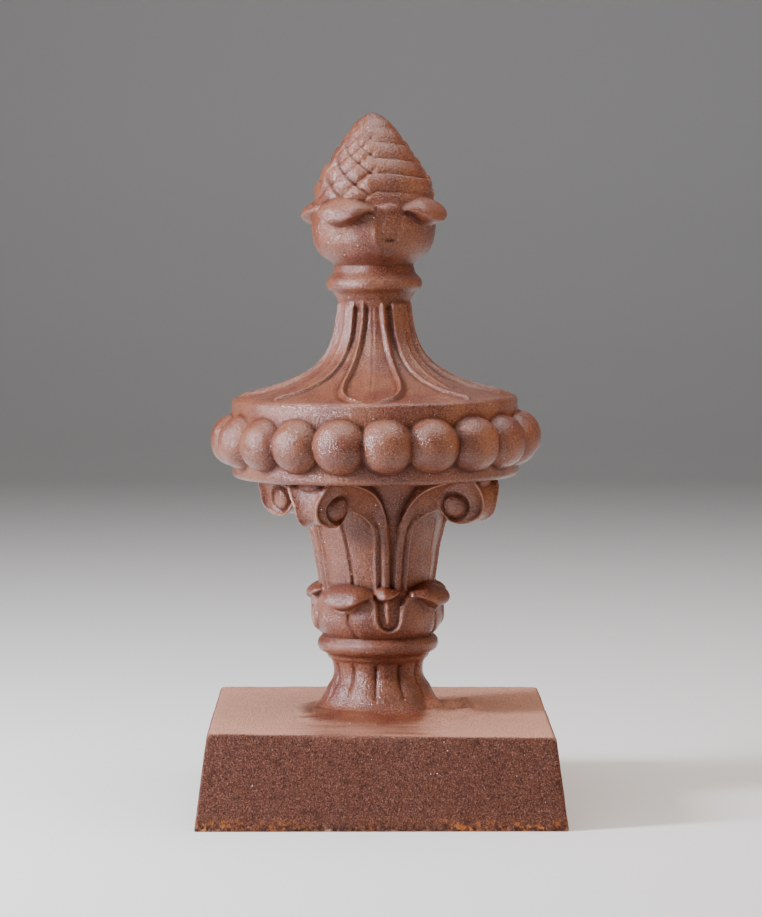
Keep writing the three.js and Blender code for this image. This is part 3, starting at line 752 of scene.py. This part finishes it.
on_base = step(place[:, 2] * 1000, 0.5, 6)
unevenness = np.array([
    UNEVEN_WIDE * noise.noise(Vector(p) * 28)
    + UNEVEN_FINE * noise.noise(Vector(p) * 90 + Vector((5, 1, 8)))
    for p in place.tolist()
])
moved = place + facing * (unevenness * on_base)[:, None] / 1000
bottom_edge = bump(place[:, 2] * 1000, 2, 5) * (np.abs(facing[:, 2]) < 0.8)
chips = np.array([
    noise.noise(Vector(p) * 120) + 0.6 * noise.noise(Vector(p) * 300) for p in place.tolist()
])
moved -= facing * (bottom_edge * np.clip(chips - 0.2, 0, 0.6))[:, None] * CHIP_DEPTH / 1000
place = moved

# What the glaze follows: narrow edges and creases, wide hollows and swellings, the dry glaze of
# the plinth with the clay smeared wet over it, and the plinth's four sloping sides. The edges,
# creases and hollows also place the painted highlight and the painted shade
narrow = ((place - relaxed(place, 8)) * facing).sum(axis=1)
wide = ((place - relaxed(place, 60 if VOXEL < 2 else 24)) * facing).sum(axis=1)
x, y, z = 1000 * place.T
from_axis = np.hypot(x - SHAFT_X, y)
wander = np.array([noise.noise(Vector(p) * 45) for p in place.tolist()])
streaks = np.array([noise.noise(Vector((p[0] * 14, p[1] * 70, 3))) for p in place.tolist()])
dry_right = 30 * step(x, 30, 62) * step(-y, -40, 40)
wet_front = 26 * step(-y, 10, 60) * step(x + 20 * streaks, -100, -65)
wet_front *= step(-x + 20 * streaks, -75, -30)
bare = step(from_axis + 9 * wander + dry_right - wet_front, 72, 94) * step(-z, -134, -116)
dragged = step(x + 30 * streaks, -96, -50) * step(-x + 26 * streaks, -72, -10) * step(-y, 30, 70)
bare *= 1 - 0.75 * np.clip(dragged * (0.8 + 0.7 * streaks), 0, 1) * step(z, 95, 98)
side = bare * step(np.maximum(np.abs(x), np.abs(y)) - plinth_half(z), -2.2, -0.8)
MARKS = ("edge", "form", "plinth", "side")
marks = relaxed(np.column_stack([narrow * 1000, wide * 1000, bare, side]), 2)
lowest, highest = (np.array(corner) for corner in cad_box)
place = np.clip(place, lowest + 1e-5, highest - 1e-5)
skin.vertices.foreach_set("co", place.ravel())
skin.update()

with_modifier("TRIANGULATE")
ratio = FACES / len(finial.data.polygons)
with_modifier("DECIMATE", ratio=min(1, ratio))
finial.data.shade_smooth()
tree = kdtree.KDTree(count)
for i, p in enumerate(place.tolist()):
    tree.insert(p, i)
tree.balance()
nearest_mark = np.array([tree.find(v.co)[1] for v in finial.data.vertices])
for column, name in enumerate(MARKS):
    attribute = finial.data.attributes.new(name, "FLOAT", "POINT")
    attribute.data.foreach_set("value", marks[nearest_mark, column])


# Salt-glazed stoneware: iron-bearing clay fired hot, with salt thrown into the kiln. The vapour
# leaves a thin brown glass with an orange-peel grain of 1 to 2 mm. It is glossy where it ran
# thick on the ornament, dry on the plinth, thin and pale on edges, dark and red in recesses. The
# pale edges also carry a painted highlight, the recesses painted shade, and the plinth's top is
# painted paler as if lit from above.
def tone(hex_colour):
    """An sRGB hex colour as linear red, green, blue and alpha."""
    channels = [int(hex_colour[i:i + 2], 16) / 255 for i in (1, 3, 5)]
    return [c / 12.92 if c <= 0.04045 else ((c + 0.055) / 1.055) ** 2.4 for c in channels] + [1]


glaze = bpy.data.materials.new("salt_glazed_stoneware")
glaze.use_nodes = True
glaze.node_tree.nodes.clear()


def node(kind, links=None, **settings):
    """Adds a node to the glaze, with its settings and what goes into its sockets."""
    made = glaze.node_tree.nodes.new("ShaderNode" + kind)
    for name, value in settings.items():
        setattr(made, name, value)
    for socket, value in (links or {}).items():
        if isinstance(value, bpy.types.NodeSocket):
            glaze.node_tree.links.new(value, made.inputs[socket])
        else:
            made.inputs[socket].default_value = value
    return made


BODY = "#744028"
BODY_RED = "#5f2a1a"
# Darker glaze pooled in recesses, which also stands for painted shade there
POOLED_GLAZE_AND_SHADE = "#381a0e"
# Pale thin glaze on edges and grain crests; on raised edges it is also a painted highlight
PALE_GLAZE_AND_HIGHLIGHT = "#c08a72"
PLINTH_FACE = "#5b3528"
# Painted light: the plinth's top is paler than its sides, as light from above would make it
PLINTH_TOP_PAINTED_LIGHT = "#bb8973"
PIT = "#2e150d"
RUST = "#b4672f"
CHIP = "#33221d"
WHITE_SPECK = "#e6ddd6"
# Sizes in millimetres. The real grain is 1 to 2 mm, too fine to show in a render of the
# photograph's size, so it is drawn a little coarser.
GRAIN = 2.3
FINE_GRAIN = 1.5
PIT_SIZE = 2
DEEP_PIT = (0.1405, -0.1945, 0.036)

where = node("TexCoord").outputs["Object"]
height = node("SeparateXYZ", {0: where}).outputs["Z"]
edge_mark, form_mark, on_plinth, on_side = (
    node("Attribute", attribute_name=name).outputs["Fac"] for name in MARKS
)
on_top = node("Math", {0: on_plinth, 1: on_side}, operation="SUBTRACT").outputs[0]

# Clouds: the size of their lumps in millimetres, their detail and roughness
clouds = {}
for name, lump, detail, rough in (
    ("grain", GRAIN, 2, 0.75), ("fine grain", FINE_GRAIN, 2, 0.6), ("pitting", PIT_SIZE, 3, 0.7),
    ("body", 34, 3, 0.5), ("mottling", 8, 2, 0.5), ("sheen", 22, 3, 0.5),
    ("rust", 7, 4, 0.65), ("rust patches", 70, 2, 0.5), ("chipping", 5, 3, 0.6),
):
    clouds[name] = node("TexNoise", {
        "Vector": where, "Scale": 1000 / lump, "Detail": detail, "Roughness": rough,
    }).outputs[0]

# Specks: iron, lime and rust spots, with the distance between them in millimetres
specks = {}
for name, apart, shift in (("iron", 9, 3.1), ("lime", 17, 8.7), ("rust", 38, 5.3)):
    moved_on = node("Mapping", {"Vector": where, "Location": (shift, shift / 2, -shift)}).outputs[0]
    specks[name] = node("TexVoronoi", {"Vector": moved_on, "Scale": 1000 / apart},
                        feature="F1").outputs["Distance"]
from_pit = node("VectorMath", {0: where, 1: DEEP_PIT}, operation="DISTANCE").outputs["Value"]

# Where each thing shows: not at the first value of its source, and fully at the second
shows = {"side": on_side, "top": on_top}
for name, source, never, fully in (
    ("red", clouds["body"], 0.35, 0.68), ("pore", clouds["grain"], 0.52, 0.34),
    ("crest", clouds["fine grain"], 0.5, 0.68), ("pit", clouds["pitting"], 0.46, 0.34),
    # hollow and crease: pooled glaze and painted shade; ridge: thin glaze and a painted highlight
    ("mottle", clouds["mottling"], 0.56, 0.7), ("hollow", form_mark, -0.3, -2.2),
    ("crease", edge_mark, -0.08, -0.4), ("ridge", edge_mark, 0.2, 0.6),
    ("iron speck", specks["iron"], 0.09, 0.054), ("lime speck", specks["lime"], 0.045, 0.027),
    ("rust speck", specks["rust"], 0.035, 0.021), ("deep pit", from_pit, 0.0026, 0.00156),
    ("rust in pit", from_pit, 0.0011, 0.00066), ("near base", height, 0.018, 0.002),
    ("at base", height, 0.009, 0.002), ("rust", clouds["rust"], 0.47, 0.6),
    ("rust patch", clouds["rust patches"], 0.42, 0.6), ("chip", clouds["chipping"], 0.5, 0.58),
):
    shows[name] = node("MapRange", {0: source, 1: never, 2: fully},
                       interpolation_type="SMOOTHSTEP").outputs[0]

# Coats of colour, the last on top: how strong each is, and where it shows
colour = tone(BODY)
for hue, strength, *places in (
    # The plinth's top gets a paler colour: painted light from above
    (BODY_RED, 1, "red"), (PLINTH_FACE, 1, "side"), (PLINTH_TOP_PAINTED_LIGHT, 0.85, "top"),
    (PIT, 0.6, "pore"), (PALE_GLAZE_AND_HIGHLIGHT, 0.28, "crest"), (PIT, 0.72, "side", "pit"),
    # Hollows and creases darken: partly pooled glaze, partly painted shade
    (PIT, 0.4, "side", "mottle"), (POOLED_GLAZE_AND_SHADE, 0.8, "hollow"), (POOLED_GLAZE_AND_SHADE, 0.55, "crease"),
    # Raised edges go pale: partly thin glaze, partly a painted highlight
    (PALE_GLAZE_AND_HIGHLIGHT, 0.35, "ridge"), (CHIP, 0.8, "iron speck"), (WHITE_SPECK, 0.8, "lime speck"),
    (RUST, 0.8, "rust speck"), (PIT, 1, "deep pit"), (RUST, 1, "rust in pit"),
    (RUST, 0.8, "side", "near base", "rust", "rust patch"), (CHIP, 0.8, "side", "at base", "chip"),
):
    share = strength
    for name in places:
        share = node("Math", {0: share, 1: shows[name]}, operation="MULTIPLY").outputs[0]
    colour = node("Mix", {0: share, 6: colour, 7: tone(hue)}, data_type="RGBA").outputs[2]

# Roughness: 0.4 on the ornament and 0.66 on the plinth, uneven by patches
dryness = node("Mix", {0: on_plinth, 2: 0.4, 3: 0.66}, data_type="FLOAT").outputs[0]
patchy = node("MapRange", {0: clouds["sheen"], 1: 0.3, 2: 0.7, 3: -0.07, 4: 0.12},
              interpolation_type="SMOOTHSTEP").outputs[0]
roughness = node("Math", {0: dryness, 1: patchy}, operation="ADD").outputs[0]

# Relief in metres: orange peel, the finer grain on it, and the pits of the plinth's sides
side_pits = node("Math", {0: shows["pit"], 1: on_side}, operation="MULTIPLY").outputs[0]
peel = node("Bump", {"Height": clouds["grain"], "Strength": 0.9, "Distance": 0.0015}).outputs[0]
skin_peel = node("Bump", {
    "Height": clouds["fine grain"], "Strength": 0.6, "Distance": 0.0006, "Normal": peel,
}).outputs[0]
pitted = node("Bump", {
    "Height": side_pits, "Strength": 0.9, "Distance": 0.001, "Normal": skin_peel,
}, invert=True).outputs[0]

# The glass of the glaze: thick on the ornament, thin on the plinth and in dirty recesses
thick = node("MapRange", {0: on_plinth, 3: 0.8, 4: 0.03}).outputs[0]
clean = node("MapRange", {0: form_mark, 1: -1.6, 2: 0.3, 3: 0.15, 4: 1},
             interpolation_type="SMOOTHSTEP").outputs[0]
glass = node("Math", {0: thick, 1: clean}, operation="MULTIPLY").outputs[0]

shader = node("BsdfPrincipled", {
    "Base Color": colour, "Roughness": roughness, "Normal": pitted, "IOR": 1.5,
    "Specular IOR Level": 0.12, "Coat Weight": glass, "Coat Roughness": 0.09, "Coat IOR": 1.55,
    "Coat Normal": peel,
})
node("OutputMaterial", {0: shader.outputs[0]})

finial.data.materials.clear()
finial.data.materials.append(glaze)
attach(finial, "root")
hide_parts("finial")


# Floor: a plain pale sheet of card that curves up far behind. It is matt, and is no part of the
# finial.
FLOOR_CARD = "#cfccc7"
floor_points = [
    (-9, 0), (4.6, 0), (5.2, 0.06), (5.8, 0.25), (6.3, 0.6), (6.6, 1.1), (6.7, 1.8), (6.7, 7),
]
floor_mesh = bpy.data.meshes.new("floor")
floor_mesh.from_pydata(
    [(x, y, z) for y, z in floor_points for x in (-9, 9)], [],
    [(2 * i, 2 * i + 1, 2 * i + 3, 2 * i + 2) for i in range(len(floor_points) - 1)],
)
floor_mesh.shade_smooth()
floor = bpy.data.objects.new("floor", floor_mesh)
bpy.context.scene.collection.objects.link(floor)
card = bpy.data.materials.new("pale_card")
card.use_nodes = True
card.node_tree.nodes["Principled BSDF"].inputs["Base Color"].default_value = tone(FLOOR_CARD)
card.node_tree.nodes["Principled BSDF"].inputs["Roughness"].default_value = 0.9
floor_mesh.materials.append(card)


# Light: a small bright window on the left makes the highlights, and a broad sky beside it softens
# the shadows. Soft daylight comes from overhead, and a weak warm return from the right.
def lamp(name, place, width, height, watts, colour, aim=(0, 0, 0.42)):
    data = bpy.data.lights.new(name, "AREA")
    data.shape = "RECTANGLE"
    data.size, data.size_y = width, height
    data.energy = watts
    data.color = tone(colour)[:3]
    lit = bpy.data.objects.new(name, data)
    lit.location = place
    lit.rotation_euler = (Vector(aim) - Vector(place)).to_track_quat("-Z", "Y").to_euler()
    bpy.context.scene.collection.objects.link(lit)


lamp("window", (-2.0, -0.75, 1.15), 0.36, 0.82, 170, "#e9efff")
lamp("sky", (-2.2, -1.1, 2.1), 2.2, 2.2, 30, "#eef2ff")
lamp("overhead", (0.2, -0.2, 2.9), 3.2, 3.2, 145, "#ffffff")
lamp("front", (0.9, -3.2, 1.3), 1.6, 1.6, 2, "#ffeedd")
lamp("warm_return", (1.9, -0.2, 0.8), 1.0, 1.4, 18, "#ffbc84")
world = bpy.data.worlds.new("room")
world.use_nodes = True
world.node_tree.nodes["Background"].inputs[0].default_value = tone("#d8d8dc")
world.node_tree.nodes["Background"].inputs[1].default_value = 0.04
bpy.context.scene.world = world

# Camera: at the photograph's place, 3.57 m in front and a little above the middle, looking down
# 4 degrees
FOCAL_LENGTH = 3245.3  # in pixels of the photograph
PHOTO_HEIGHT = 917
SENSOR = 36
LOOK_DOWN = 4.026
LOOK_RIGHT = 0.403

camera = bpy.data.cameras.new("camera")
camera.lens = SENSOR * FOCAL_LENGTH / PHOTO_HEIGHT
camera.sensor_width = SENSOR
camera.sensor_fit = "AUTO"
eye = bpy.data.objects.new("camera", camera)
eye.location = (-0.0243, -3.572, 0.631)
eye.rotation_euler = (math.radians(90 - LOOK_DOWN), 0, math.radians(-LOOK_RIGHT))
bpy.context.scene.collection.objects.link(eye)
bpy.context.scene.camera = eye
